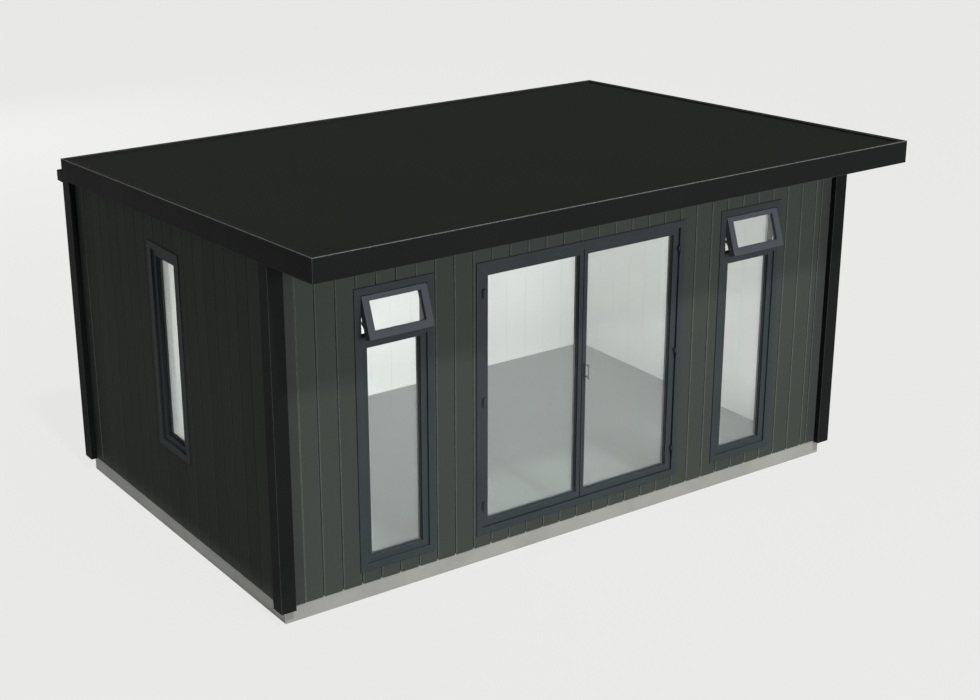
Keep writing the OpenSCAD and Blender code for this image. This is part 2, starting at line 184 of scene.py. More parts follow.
world = bpy.data.worlds.new("sky")
scene.world = world
world.use_nodes = True
sky = world.node_tree
background = sky.nodes["Background"]
light_path = sky.nodes.new("ShaderNodeLightPath")
sky_level = sky.nodes.new("ShaderNodeMapRange")
sky_level.inputs["To Min"].default_value = 0.27
sky_level.inputs["To Max"].default_value = 0.80
background.inputs["Color"].default_value = (1.0, 1.0, 0.985, 1)
sky.links.new(light_path.outputs["Is Camera Ray"], sky_level.inputs["Value"])
sky.links.new(sky_level.outputs["Result"], background.inputs["Strength"])

# %% [markdown]
# Most pieces start as a block that is cut and softened. These helpers hold that way of working:
# a fresh mesh with two marks on its faces (a board's own tone, and an edge mark for rubbed edges and
# painted highlights), a block given by its corners, a saw cut that closes the cut end, and a bevel
# that marks what it makes, so that a finish can find the edges later. Points closer than a hair, a
# thousandth of a millimetre, count as one.

# %% Mesh helpers
hair = 1e-6


def fresh():
    """An empty mesh whose faces carry a tone and an edge mark."""
    bm = bmesh.new()
    bm.faces.layers.float.new("tone")
    bm.faces.layers.float.new("edge")
    return bm


def add_block(bm, low, high):
    """Adds a block by its low and high corners and returns its vertices."""
    low, high = Vector(low), Vector(high)
    corners = bmesh.ops.create_cube(bm, size=1.0)["verts"]
    bmesh.ops.scale(bm, vec=high - low, verts=corners)
    bmesh.ops.translate(bm, vec=(low + high) / 2, verts=corners)
    return corners


def score(bm, point, outwards, clear_outer=False):
    """Splits the faces along a plane and returns what lies on the cut."""
    everything = bm.verts[:] + bm.edges[:] + bm.faces[:]
    cut = bmesh.ops.bisect_plane(bm, geom=everything, plane_co=point, plane_no=outwards,
                                 clear_outer=clear_outer, dist=hair / 10)
    return cut["geom_cut"]


def saw_off(bm, point, outwards):
    """Cuts away everything on the outward side of a plane and closes the cut."""
    cut = score(bm, point, outwards, clear_outer=True)
    rim = [part for part in cut if isinstance(part, bmesh.types.BMEdge)]
    if rim:
        bmesh.ops.edgeloop_fill(bm, edges=rim)


def corner_edges(bm, least=40):
    """The edges where two faces meet at more than this many degrees."""
    limit = math.radians(least)
    return [e for e in bm.edges if len(e.link_faces) == 2 and e.calc_face_angle() > limit]


def soften(bm, edges, width, segments=2):
    """Rounds edges and marks the new faces as rubbed edges."""
    mark = bm.faces.layers.float["edge"]
    made = bmesh.ops.bevel(bm, geom=edges, offset=width, segments=segments, profile=0.5,
                           affect="EDGES", material=-1, clamp_overlap=True)
    for face in made["faces"]:
        face[mark] = 1.0


def pour(part, bm, move=None):
    """Adds a finished part to a larger mesh, moved by a matrix if one is given."""
    if move is not None:
        bmesh.ops.transform(part, matrix=move, verts=part.verts)
    mesh = bpy.data.meshes.new("part")
    part.to_mesh(mesh)
    part.free()
    bm.from_mesh(mesh)
    bpy.data.meshes.remove(mesh)


def add_soft_block(bm, low, high, width, move):
    """Adds a block with all its edges rounded."""
    part = fresh()
    add_block(part, low, high)
    soften(part, part.edges[:], width)
    pour(part, bm, move)


print("mesh helpers ready")

# %% [markdown]
# A finished piece needs a name, a finish and the body that it moves with. The same few lines do this
# for every piece. Weighted normals keep large flat faces looking flat next to their small rounded
# edges, and any corner sharper than 35 degrees stays a crisp line.

# %% Finish helpers
flat_beyond = math.radians(35)


def finish(name, bm, material, body="pod", replaces=()):
    """Makes the mesh a piece of the pod and returns its object."""
    bmesh.ops.recalc_face_normals(bm, faces=bm.faces)
    mesh = bpy.data.meshes.new(name)
    bm.to_mesh(mesh)
    bm.free()
    if "custom_normal" in mesh.attributes:
        mesh.attributes.remove(mesh.attributes["custom_normal"])
    mesh.materials.clear()
    mesh.materials.append(material)
    mesh.shade_smooth()
    mesh.set_sharp_from_angle(angle=flat_beyond)
    piece = bpy.data.objects.new(name, mesh)
    scene.collection.objects.link(piece)
    weighted = piece.modifiers.new("weighted_normals", "WEIGHTED_NORMAL")
    weighted.keep_sharp = True
    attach(piece, body)
    if replaces:
        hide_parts(*replaces)
    print(f"{name}: {len(mesh.polygons)} faces")
    return piece


def carry_over(node, name, material, width, body="pod", extra=None):
    """A clean copy of a model node with softened edges, which stands for that node."""
    bm = fresh()
    bm.from_mesh(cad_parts[node].data)
    bmesh.ops.remove_doubles(bm, verts=bm.verts, dist=hair)
    bmesh.ops.dissolve_limit(bm, angle_limit=math.radians(0.5), verts=bm.verts, edges=bm.edges)
    soften(bm, corner_edges(bm), width)
    if extra:
        extra(bm)
    return finish(name, bm, material, body, [node])


print("finish helpers ready")

# %% [markdown]
# Four effects appear in nearly every finish: slow patches of light and dark, a fine grain, paint
# rubbed thin on edges, which on some finishes also carries a painted highlight, and dust that settles
# near the ground. Each is a node group, built once and placed in each material with its own values.
# The groups give out masks and heights only.

# %% Node groups for patches and grain
def new_group(name, inputs, outputs):
    """A shader node group with named sockets, and its two end nodes."""
    group = bpy.data.node_groups.new(name, "ShaderNodeTree")
    for label, kind, value in inputs:
        socket = group.interface.new_socket(name=label, in_out="INPUT", socket_type=kind)
        socket.default_value = value
    for label in outputs:
        group.interface.new_socket(name=label, in_out="OUTPUT", socket_type="NodeSocketFloat")
    start = group.nodes.new("NodeGroupInput")
    end = group.nodes.new("NodeGroupOutput")
    return group, start, end


def maths(tree, operation, first, second):
    """A Math node between two sockets or numbers, as its output socket."""
    node = tree.nodes.new("ShaderNodeMath")
    node.operation = operation
    for socket, value in zip(node.inputs, (first, second)):
        if isinstance(value, (int, float)):
            socket.default_value = value
        else:
            tree.links.new(value, socket)
    return node.outputs["Value"]


def remap(tree, value, from_range, to_range):
    """A Map Range node that holds its result inside the second range."""
    node = tree.nodes.new("ShaderNodeMapRange")
    tree.links.new(value, node.inputs["Value"])
    node.inputs["From Min"].default_value, node.inputs["From Max"].default_value = from_range
    node.inputs["To Min"].default_value, node.inputs["To Max"].default_value = to_range
    return node.outputs["Result"]


def stretched_noise(tree, size, stretch, detail):
    """Noise on Object coordinates whose size is a socket in metres."""
    place = tree.nodes.new("ShaderNodeTexCoord").outputs["Object"]
    spread = tree.nodes.new("ShaderNodeVectorMath")
    spread.operation = "MULTIPLY"
    tree.links.new(place, spread.inputs[0])
    tree.links.new(stretch, spread.inputs[1])
    noise = tree.nodes.new("ShaderNodeTexNoise")
    noise.inputs["Detail"].default_value = detail
    tree.links.new(spread.outputs["Vector"], noise.inputs["Vector"])
    tree.links.new(maths(tree, "DIVIDE", 1.0, size), noise.inputs["Scale"])
    return noise.outputs["Fac"]


def noise_group(name, detail, contrast):
    """A group that gives stretched noise with its contrast raised."""
    inputs = [("Size", "NodeSocketFloat", 0.5), ("Stretch", "NodeSocketVector", (1, 1, 1))]
    group, start, end = new_group(name, inputs, ["Value"])
    noise = stretched_noise(group, start.outputs["Size"], start.outputs["Stretch"], detail)
    value = remap(group, noise, (0.5 - contrast, 0.5 + contrast), (0, 1))
    group.links.new(value, end.inputs["Value"])
    return group


patches = noise_group("slow_patches", detail=3, contrast=0.22)
grain = noise_group("fine_grain", detail=5, contrast=0.4)
print("groups:", patches.name, grain.name)


# %% Node groups for rubbed edges, painted highlights and ground dust
edge_mark_size = 0.03
dust_reach = 0.45


def edge_wear_and_highlight_group():
    """Where an edge's coat is rubbed thin, and where a highlight is painted: the edge mark, broken up
    by noise.
    """
    inputs = [("Amount", "NodeSocketFloat", 0.5), ("Size", "NodeSocketFloat", edge_mark_size)]
    group, start, end = new_group("rubbed_and_highlit_edges", inputs, ["Mask"])
    mark = group.nodes.new("ShaderNodeAttribute")
    mark.attribute_name = "edge"
    even = group.nodes.new("ShaderNodeCombineXYZ")
    for axis in range(3):
        even.inputs[axis].default_value = 1.0
    noise = stretched_noise(group, start.outputs["Size"], even.outputs["Vector"], 3)
    broken = remap(group, noise, (0.35, 0.6), (0.65, 1.0))
    wear_and_highlight_mask = maths(group, "MULTIPLY", mark.outputs["Fac"], broken)
    group.links.new(maths(group, "MULTIPLY", wear_and_highlight_mask, start.outputs["Amount"]), end.inputs["Mask"])
    return group


def ground_dust_group():
    """Dust and splashed soil, thick at the ground and gone at the reach height."""
    inputs = [("Reach", "NodeSocketFloat", dust_reach), ("Amount", "NodeSocketFloat", 0.3)]
    group, start, end = new_group("ground_dust", inputs, ["Mask"])
    place = group.nodes.new("ShaderNodeTexCoord").outputs["Object"]
    split = group.nodes.new("ShaderNodeSeparateXYZ")
    group.links.new(place, split.inputs[0])
    share = maths(group, "DIVIDE", split.outputs["Z"], start.outputs["Reach"])
    near = remap(group, share, (0.0, 1.0), (1.0, 0.0))
    noise = group.nodes.new("ShaderNodeTexNoise")
    noise.inputs["Scale"].default_value = 9.0
    noise.inputs["Detail"].default_value = 6.0
    group.links.new(place, noise.inputs["Vector"])
    spots = remap(group, noise.outputs["Fac"], (0.35, 0.65), (0.3, 1.0))
    mask = maths(group, "MULTIPLY", maths(group, "MULTIPLY", near, spots), start.outputs["Amount"])
    group.links.new(mask, end.inputs["Mask"])
    return group


edge_wear_and_highlight = edge_wear_and_highlight_group()
ground_dust = ground_dust_group()
print("groups:", edge_wear_and_highlight.name, ground_dust.name)

# %% [markdown]
# A finish is a base colour with slow patches, the tone of each board, rubbed edges with painted
# highlights, and dust laid over it, a roughness that follows the patches, and a fine bump. One
# function joins those layers, and each material below gives it its own colours, its range of roughness
# and its sizes in metres.

# %% Layered finish
def colour_mix(tree, mask, under, over):
    """Mixes two colours by a mask; each colour is a socket or three numbers."""
    mix = tree.nodes.new("ShaderNodeMix")
    mix.data_type = "RGBA"
    tree.links.new(mask, mix.inputs["Factor"])
    for label, colour in (("A", under), ("B", over)):
        socket = [s for s in mix.inputs if s.name == label and s.type == "RGBA"][0]
        if isinstance(colour, tuple):
            socket.default_value = (*colour, 1)
        else:
            tree.links.new(colour, socket)
    return [s for s in mix.outputs if s.type == "RGBA"][0]


def placed(tree, group, **values):
    """A node group placed in a material with its own values, as its output socket."""
    node = tree.nodes.new("ShaderNodeGroup")
    node.node_tree = group
    for label, value in values.items():
        node.inputs[label.capitalize()].default_value = value
    return node.outputs[0]


soil = (0.30, 0.29, 0.26)


def finish_material(name, dark, light, rough, patch, grain_size, bump, stretch=(1, 1, 1),
                    tone=None, wear_and_highlight=None, wear_and_highlight_amount=0.6, dust=0.0, grain_stretch=(1, 1, 1),
                    metallic=0.0, shine=0.25):
    """A coated surface: patches, board tones, rubbed edges and painted highlights, dust and a fine
    bump.
    """
    material = bpy.data.materials.new(name)
    material.use_nodes = True
    tree = material.node_tree
    shader = tree.nodes["Principled BSDF"]
    drift = placed(tree, patches, size=patch, stretch=stretch)
    colour = colour_mix(tree, drift, dark, light)
    if tone:
        mark = tree.nodes.new("ShaderNodeAttribute")
        mark.attribute_name = "tone"
        colour = colour_mix(tree, mark.outputs["Fac"], colour, tone)
    # The edge colour is rubbed paint, and on the boards, corner strips and roof trim it is also a
    # painted highlight.
    if wear_and_highlight:
        wear_and_highlight_mask = placed(tree, edge_wear_and_highlight, amount=wear_and_highlight_amount, size=edge_mark_size)
        colour = colour_mix(tree, wear_and_highlight_mask, colour, wear_and_highlight)
    if dust:
        settled = placed(tree, ground_dust, reach=dust_reach, amount=dust)
        colour = colour_mix(tree, settled, colour, soil)
    tree.links.new(colour, shader.inputs["Base Color"])
    tree.links.new(remap(tree, drift, (0.0, 1.0), rough), shader.inputs["Roughness"])
    ripple = tree.nodes.new("ShaderNodeBump")
    ripple.inputs["Strength"].default_value = bump
    ripple.inputs["Distance"].default_value = 1 * mm
    height = placed(tree, grain, size=grain_size, stretch=grain_stretch)
    tree.links.new(height, ripple.inputs["Height"])
    tree.links.new(ripple.outputs["Normal"], shader.inputs["Normal"])
    shader.inputs["Metallic"].default_value = metallic
    shader.inputs["Specular IOR Level"].default_value = shine
    return material


# %% [markdown]
# The outside is painted timber board, black powder-coated metal and dark blue-grey frames. Painted
# board has its grain along its length, so its noise is squeezed upright. Powder coat has a fine
# even texture like orange peel. The roof is a rubber sheet, dull and slightly mottled.

# %% Outside finishes
upright = (1, 1, 0.06)
# Its pale edge colour paints a highlight on the left slant of every groove, as well as rubbed paint on
# the softened corners.
board_paint = finish_material(
    "board_paint", (0.033, 0.039, 0.034), (0.038, 0.044, 0.039), (0.55, 0.68), patch=0.5,
    stretch=(1, 1, 0.25), tone=(0.045, 0.051, 0.045), wear_and_highlight=(0.102, 0.114, 0.102), wear_and_highlight_amount=0.9, dust=0.012,
    grain_size=0.006, grain_stretch=upright, bump=0.35, shine=0.05)
# Its pale edge colour paints a highlight line on the slanted edge of each corner strip, as well as
# rubbed paint on its softened corners.
strip_paint = finish_material(
    "strip_paint", (0.0305, 0.0345, 0.032), (0.0345, 0.0385, 0.036), (0.55, 0.66), patch=0.4,
    wear_and_highlight=(0.15, 0.17, 0.15), wear_and_highlight_amount=0.95, dust=0.012, grain_size=0.006, grain_stretch=upright,
    bump=0.25, shine=0.09)
black_coat = finish_material(
    "black_coat", (0.0072, 0.0079, 0.0081), (0.0087, 0.0095, 0.0097), (0.42, 0.55), patch=0.9,
    wear_and_highlight=(0.050, 0.052, 0.052), wear_and_highlight_amount=0.8, dust=0.01, grain_size=0.0015, bump=0.12, shine=0.05)
frame_coat = finish_material(
    "frame_coat", (0.0267, 0.0340, 0.0366), (0.0313, 0.0395, 0.0422), (0.38, 0.48), patch=0.4,
    wear_and_highlight=(0.075, 0.085, 0.088), wear_and_highlight_amount=0.5, dust=0.008, grain_size=0.0012, bump=0.10, shine=0.09)
# A lighter copy of the frame coat, for the open fanlight sashes: painted light on sashes of the same
# colour as the other frames.
lit_fanlight_coat = finish_material(
    "lit_fanlight_coat", (0.060, 0.071, 0.079), (0.068, 0.080, 0.089), (0.38, 0.48), patch=0.4,
    wear_and_highlight=(0.095, 0.105, 0.108), wear_and_highlight_amount=0.5, dust=0.008, grain_size=0.0012, bump=0.10, shine=0.16)
roof_rubber = finish_material(
    "roof_rubber", (0.0138, 0.0158, 0.0127), (0.0165, 0.0188, 0.0152), (0.72, 0.86), patch=1.1,
    wear_and_highlight=(0.03, 0.032, 0.03), grain_size=0.008, bump=0.25, shine=0.04)
# Its pale edge colour paints a highlight line along the outer rim of the roof trim, as well as rubbed
# paint on its softened corners.
trim_metal = finish_material(
    "trim_metal", (0.0130, 0.0148, 0.0122), (0.0155, 0.0176, 0.0146), (0.60, 0.72), patch=0.5,
    wear_and_highlight=(0.17, 0.175, 0.17), wear_and_highlight_amount=0.95, grain_size=0.0012, bump=0.08, shine=0.04)
concrete = finish_material(
    "concrete", (0.222, 0.224, 0.212), (0.272, 0.274, 0.260), (0.82, 0.93), patch=0.35,
    wear_and_highlight=(0.36, 0.36, 0.34), wear_and_highlight_amount=0.6, dust=0.2, grain_size=0.010, bump=0.6, shine=0.2)
print("outside finishes:", board_paint.name, black_coat.name, frame_coat.name, concrete.name)

# %% [markdown]
# Inside, the boards and ceiling are white and the floor is a plain grey sheet. The small parts are
# satin steel, black rubber seals and the dull bar that spaces the two sheets of each sealed pane.

# %% Inside and small finishes
white_board = finish_material(
    "white_board", (0.80, 0.80, 0.78), (0.84, 0.84, 0.825), (0.45, 0.55), patch=0.8,
    tone=(0.86, 0.86, 0.85), grain_size=0.004, grain_stretch=upright, bump=0.05)
white_paint = finish_material(
    "white_paint", (0.80, 0.80, 0.785), (0.84, 0.84, 0.83), (0.60, 0.72), patch=0.9,
    grain_size=0.003, bump=0.08)
floor_sheet = finish_material(
    "floor_sheet", (0.140, 0.153, 0.149), (0.160, 0.174, 0.169), (0.45, 0.6), patch=0.9,
    grain_size=0.003, bump=0.08, shine=0.2)
deck_board = finish_material(
    "deck_board", (0.36, 0.27, 0.17), (0.44, 0.34, 0.22), (0.7, 0.85), patch=0.25,
    grain_size=0.012, bump=0.4)
satin_steel = finish_material(
    "satin_steel", (0.42, 0.41, 0.40), (0.50, 0.49, 0.48), (0.24, 0.34), patch=0.05,
    wear_and_highlight=(0.62, 0.61, 0.6), grain_size=0.001, grain_stretch=(1, 1, 0.05), bump=0.06, metallic=1.0)
rubber = finish_material(
    "black_rubber", (0.012, 0.012, 0.012), (0.018, 0.018, 0.018), (0.62, 0.74), patch=0.1,
    grain_size=0.001, bump=0.1)
spacer_bar = finish_material(
    "spacer_bar", (0.10, 0.105, 0.11), (0.13, 0.135, 0.14), (0.45, 0.6), patch=0.1,
    grain_size=0.001, bump=0.05, metallic=0.4)
print("inside finishes:", white_board.name, floor_sheet.name, satin_steel.name)

# %% [markdown]
# Window glass bends light, shines at low angles and lets sunlight through. Real glass shadows are
# slow to trace, so a shadow ray meets a clear surface instead. The panes here look a little milky,
# which a small share of plain white under the glass gives, and old wiping marks vary the gloss.

# %% Glass
def pane_glass(name, haze):
    """Clear glass with a faint milky film and wiping marks."""
    material = bpy.data.materials.new(name)
    material.use_nodes = True
    tree = material.node_tree
    shader = tree.nodes["Principled BSDF"]
    shader.inputs["Transmission Weight"].default_value = 1.0 - haze
    shader.inputs["IOR"].default_value = 1.45
    smears = placed(tree, patches, size=0.5, stretch=(1, 1, 0.4))
    tint = colour_mix(tree, smears, (0.93, 0.955, 0.945), (0.955, 0.97, 0.965))
    tree.links.new(tint, shader.inputs["Base Color"])
    tree.links.new(remap(tree, smears, (0, 1), (0.0, 0.02)), shader.inputs["Roughness"])
    clear = tree.nodes.new("ShaderNodeBsdfTransparent")
    clear.inputs["Color"].default_value = (0.93, 0.95, 0.94, 1)
    choose = tree.nodes.new("ShaderNodeMixShader")
    path = tree.nodes.new("ShaderNodeLightPath")
    tree.links.new(path.outputs["Is Shadow Ray"], choose.inputs["Fac"])
    tree.links.new(shader.outputs["BSDF"], choose.inputs[1])
    tree.links.new(clear.outputs["BSDF"], choose.inputs[2])
    tree.links.new(choose.outputs["Shader"], tree.nodes["Material Output"].inputs["Surface"])
    return material


glass = pane_glass("pane_glass", haze=0.03)
print("glass:", glass.name)

# %% [markdown]
# The walls stand under a roof that falls from front to back, so every board is cut to that slope.
# The slope comes from two walls of the model: how high the front and the back boards reach.

# %% Roof slope
front_low, front_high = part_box("front_cladding")
back_low, back_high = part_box("back_cladding")
roof_fall = (front_high.z - back_high.z) / (back_low.y - front_low.y)
wall_top = Vector((0, front_low.y, front_high.z))
slope_up = Vector((0, roof_fall, 1)).normalized()
print("roof falls", round(math.degrees(math.atan(roof_fall)), 2), "degrees")

# %% [markdown]
# Outside boards are machined with a slanted edge, so that two of them meet in a V groove. Inside
# boards have the same joint, but hardly open. A board could be one flat sheet with lines bumped
# into it, but real grooves catch light and shade from every side. So each board is a block: its
# two outer upright edges are bevelled for the groove, and then its corners are softened. The slant
# on the left of each board takes the edge mark, so that its finish paints a pale highlight line on
# it. Behind each open joint lies a tongue, as on real boards, so that no light falls through the wall.

# %% One board and one wall of boards
above_roof = 2.6
narrowest_board = 8 * mm


def quarter_turn(turns, place):
    """Faces a wall that is drawn looking along +Y, and moves it to its place."""
    return Matrix.Translation(place) @ Matrix.Rotation(math.radians(90 * turns), 4, "Z")


def board(left, right, bottom, top, thick, groove, soft):
    """A board with its outside face at y 0 and its thickness behind that."""
    part = fresh()
    add_block(part, (left, 0, bottom), (right, thick, top))
    outer = [e for e in part.edges if all(abs(v.co.y) < hair for v in e.verts)
             and abs(e.verts[0].co.z - e.verts[1].co.z) > hair]
    bmesh.ops.bevel(part, geom=outer, offset=groove, segments=1, profile=0.5, affect="EDGES",
                    material=-1)
    # The slant that faces left and out is marked, so that its finish paints a highlight on it.
    mark = part.faces.layers.float["edge"]
    for face in part.faces:
        face.normal_update()
        faces_left_and_out = face.normal.x < -0.3 and face.normal.y < -0.3
        if faces_left_and_out:
            face[mark] = 1.0
    rims = [e for e in corner_edges(part, 30) if min(v.co.y for v in e.verts) < groove + hair]
    soften(part, rims, soft)
    return part


def board_wall(joints, bottom, thick, groove, soft, move, gap):
    """A row of boards between neighbouring joints, cut off under the roof."""
    wall = fresh()
    for left, right in zip(joints, joints[1:]):
        part = board(left + gap / 2, right - gap / 2, bottom, above_roof, thick, groove, soft)
        pour(part, wall)
    tongue = gap / 2 - 0.05 * mm
    tongue_front, tongue_back = 0.6 * thick, 0.8 * thick
    for joint in joints[1:-1]:
        add_block(wall, (joint - tongue, tongue_front, bottom),
                  (joint + tongue, tongue_back, above_roof))
    bmesh.ops.transform(wall, matrix=move, verts=wall.verts)
    saw_off(wall, wall_top, slope_up)
    return wall


def joints_between(start, end, pitch, line):
    """The ends of a wall, and every joint between them that keeps to the grid."""
    first = math.ceil((start + narrowest_board - line) / pitch)
    last = math.floor((end - narrowest_board - line) / pitch)
    return [start] + [line + pitch * n for n in range(first, last + 1)] + [end]


print("board helpers ready")

# %% [markdown]
# The grooved boards leave holes where the frames stand. Cutting each board by hand would be long,
# so a block as large as each frame is taken away with a Boolean, which is applied at once. Then
# each face gets its board's own tone, drawn once per board from a seeded list.

# %% Cutting the openings and toning the boards
def hole_block(node):
    """The low and high corner of a frame, pushed out through the whole wall."""
    low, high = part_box(node)
    thinnest = min(range(3), key=lambda axis: high[axis] - low[axis])
    through = Vector((0, 0, 0))
    through[thinnest] = 300 * mm
    return low - through, high + through


openings = {
    "front": [hole_block(n) for n in ("door_frame", "left_window_frame", "right_window_frame")],
    "left": [hole_block("side_window_frame")],
}


def cut_openings(piece, blocks):
    """Takes the blocks away from a piece, with the result applied to its mesh."""
    cutter_mesh = fresh()
    for low, high in blocks:
        add_block(cutter_mesh, low, high)
    mesh = bpy.data.meshes.new("cutter")
    cutter_mesh.to_mesh(mesh)
    cutter_mesh.free()
    cutter = bpy.data.objects.new("cutter", mesh)
    scene.collection.objects.link(cutter)
    cut = piece.modifiers.new("cut", "BOOLEAN")
    cut.operation = "DIFFERENCE"
    cut.solver = "EXACT"
    cut.object = cutter
    piece.modifiers.move(len(piece.modifiers) - 1, 0)
    weighted = piece.modifiers["weighted_normals"]
    weighted.show_viewport = False
    graph = bpy.context.evaluated_depsgraph_get()
    piece.data = bpy.data.meshes.new_from_object(piece.evaluated_get(graph))
    piece.modifiers.remove(piece.modifiers["cut"])
    weighted.show_viewport = True
    bpy.data.objects.remove(cutter)


def tone_boards(piece, axis, joints, sign, seed, amount):
    """Gives every board of a wall its own tone."""
    draw = random.Random(seed)
    tones = [amount * draw.random() for _ in joints]
    values = []
    for face in piece.data.polygons:
        along = sign * face.center[axis]
        values.append(tones[sum(1 for joint in joints[1:-1] if joint < along)])
    piece.data.attributes["tone"].data.foreach_set("value", values)


print("openings:", {side: len(blocks) for side, blocks in openings.items()})

# %% [markdown]
# Now the four outside walls. Flat strips finish each wall beside the corner posts, and the grooved
# boards run between them. The grid of joints is set on the front from the middle of the door, and
# on the ends from the strip at the back. Each wall is drawn facing the same way and then turned.
# The table gives each wall its quarter turns, its place, half its length, its strip, one joint of
# its grid, and the sign and the axis along which its boards are counted.

# %% Outside boards
board_pitch = 148.3 * mm
board_thick = front_high.y - front_low.y
groove = 5.0 * mm
board_gap = 5.5 * mm
front_strip = 93 * mm
end_strip = 118 * mm
strip_proud = 1.5 * mm
front_joint = 924.5 * mm
end_joint = 1325 * mm

wall_end_x = front_high.x
wall_end_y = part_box("left_cladding")[1].y
board_bottom = front_low.z
left_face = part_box("left_cladding")[0].x
right_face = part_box("right_cladding")[1].x
walls = {
    "front": (0, Vector((0, front_low.y, 0)), wall_end_x, front_strip, -front_joint, 1, 0),
    "left": (-1, Vector((left_face, 0, 0)), wall_end_y, end_strip, -end_joint, -1, 1),
    "right": (1, Vector((right_face, 0, 0)), wall_end_y, end_strip, end_joint, 1, 1),
    "back": (2, Vector((0, back_high.y, 0)), wall_end_x, front_strip, -front_joint, -1, 0),
}


def clad_wall(side, seed):
    """One outside wall: its boards and the two flat strips at its ends."""
    turns, place, end, strip, line, sign, axis = walls[side]
    move = quarter_turn(turns, place)
    grid = joints_between(-end + strip, end - strip, board_pitch, line)
    wall = board_wall(grid, board_bottom, board_thick, groove, 0.9 * mm, move, board_gap)
    piece = finish(side + "_boards", wall, board_paint, replaces=[side + "_cladding"])
    if side in openings:
        cut_openings(piece, openings[side])
    tone_boards(piece, axis, grid, sign, seed, amount=0.5)
    strips = fresh()
    lift = Matrix.Translation((0, -strip_proud, 0))
    for ends in ((-end, -end + strip), (end - strip, end)):
        pour(board_wall(ends, board_bottom, board_thick + strip_proud, groove=1.5 * mm,
                        soft=0.8 * mm, move=move @ lift, gap=0.5 * mm), strips)
    finish(side + "_corner_strips", strips, strip_paint)


for seed, side in enumerate(walls):
    clad_wall(side, seed)

# %% [markdown]
# The white lining inside is made the same way, with boards of 200 mm whose joints are only hair
# lines. It faces inwards, so each wall of it turns the other way from the boards outside.

# %% Inside lining
lining_low, lining_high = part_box("wall_lining")
room_low, room_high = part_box("ceiling")
lining_thick = lining_high.x - room_high.x
lining_pitch = 200 * mm
long_joint = 19 * mm
short_joint = 95 * mm
lining_walls = {
    "front": (2, Vector((0, room_low.y, 0)), lining_high.x, -long_joint, -1, 0),
    "left": (1, Vector((room_low.x, 0, 0)), room_high.y, short_joint, 1, 1),
    "right": (-1, Vector((room_high.x, 0, 0)), room_high.y, -short_joint, -1, 1),
    "back": (0, Vector((0, room_high.y, 0)), lining_high.x, long_joint, 1, 0),
}


def line_wall(side, seed):
    """One inside wall of white boards."""
    turns, place, end, line, sign, axis = lining_walls[side]
    grid = joints_between(-end, end, lining_pitch, line)
    wall = board_wall(grid, lining_low.z, lining_thick, groove=1.6 * mm, soft=0.3 * mm,
                      move=quarter_turn(turns, place), gap=0.3 * mm)
    stands_for = ["wall_lining"] if side == "front" else []
    piece = finish(side + "_lining", wall, white_board, replaces=stands_for)
    if side in openings:
        cut_openings(piece, openings[side])
    tone_boards(piece, axis, grid, sign, seed + 10, amount=0.6)


for seed, side in enumerate(lining_walls):
    line_wall(side, seed)

# %% [markdown]
# Some model nodes already have the right shape and need only a finish or softer edges. The panels
# between the two skins, the ceiling, the floor and the roof deck are flat, so they keep their mesh
# and take a material. The plinth, posts, fascias and roof edge show their corners, so clean copies
# with rounded edges stand for them. The outer few millimetres of the roof trim also take the edge
# mark, so that a pale line is painted there as a highlight along the roof edge.

# %% Nodes that only need a finish
plain_nodes = {
    "front_wall_left": (white_paint, "wall_panel"),
    "front_wall_right": (white_paint, "wall_panel"),
    "front_wall_header": (white_paint, "wall_panel"),
    "front_wall_base": (white_paint, "wall_panel"),
    "left_wall": (white_paint, "wall_panel"),
    "right_wall": (white_paint, "wall_panel"),
    "back_wall": (white_paint, "wall_panel"),
    "ceiling": (white_paint, "lining"),
    "floor_deck": (floor_sheet, "floor"),
    "roof_deck": (deck_board, "roof_core"),
}
for node, (material, slot) in plain_nodes.items():
    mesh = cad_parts[node].data
    mesh.materials.clear()
    mesh.materials.append(material)
print("finished in place:", len(plain_nodes), "nodes")

# %% Plinth, posts, fascias and roof edge
highlight_rim_width = 5 * mm


def painted_highlight_rim(bm):
    """Marks the outer margin of the roof trim, where a pale highlight line is painted."""
    mark = bm.faces.layers.float["edge"]
    for axis in (0, 1):
        for corner, side in zip(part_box("roof_edge_trim"), (-1, 1)):
            limit, outwards = Vector((0, 0, 0)), Vector((0, 0, 0))
            limit[axis] = corner[axis] - side * highlight_rim_width
            outwards[axis] = side
            score(bm, limit, outwards)
            for face in bm.faces:
                if (face.calc_center_median() - limit).dot(outwards) > 0:
                    face[mark] = 1.0


carry_over("base_plinth", "plinth", concrete, 5 * mm)
for corner in ("front_left", "front_right", "back_left", "back_right"):
    carry_over(corner + "_post", corner + "_corner_post", black_coat, 2.5 * mm)
for side in ("front", "back", "left", "right"):
    carry_over(side + "_fascia", side + "_fascia_board", black_coat, 3 * mm)
carry_over("front_soffit", "soffit_board", black_coat, 1.5 * mm)
carry_over("roof_edge_trim", "roof_trim", trim_metal, 1 * mm, extra=painted_highlight_rim)
carry_over("roof_membrane", "roof_sheet", roof_rubber, 1 * mm)
carry_over("rear_gutter", "gutter", black_coat, 0.8 * mm)

# %% [markdown]
# The frames are made from bars with slanted ends, as a joiner makes them, so that a fine line runs
# across each corner. A ring cut from one block would be quicker, but it would have no joint lines.
# Each bar is a block, sawn at both ends along the line from the outer to the inner corner.

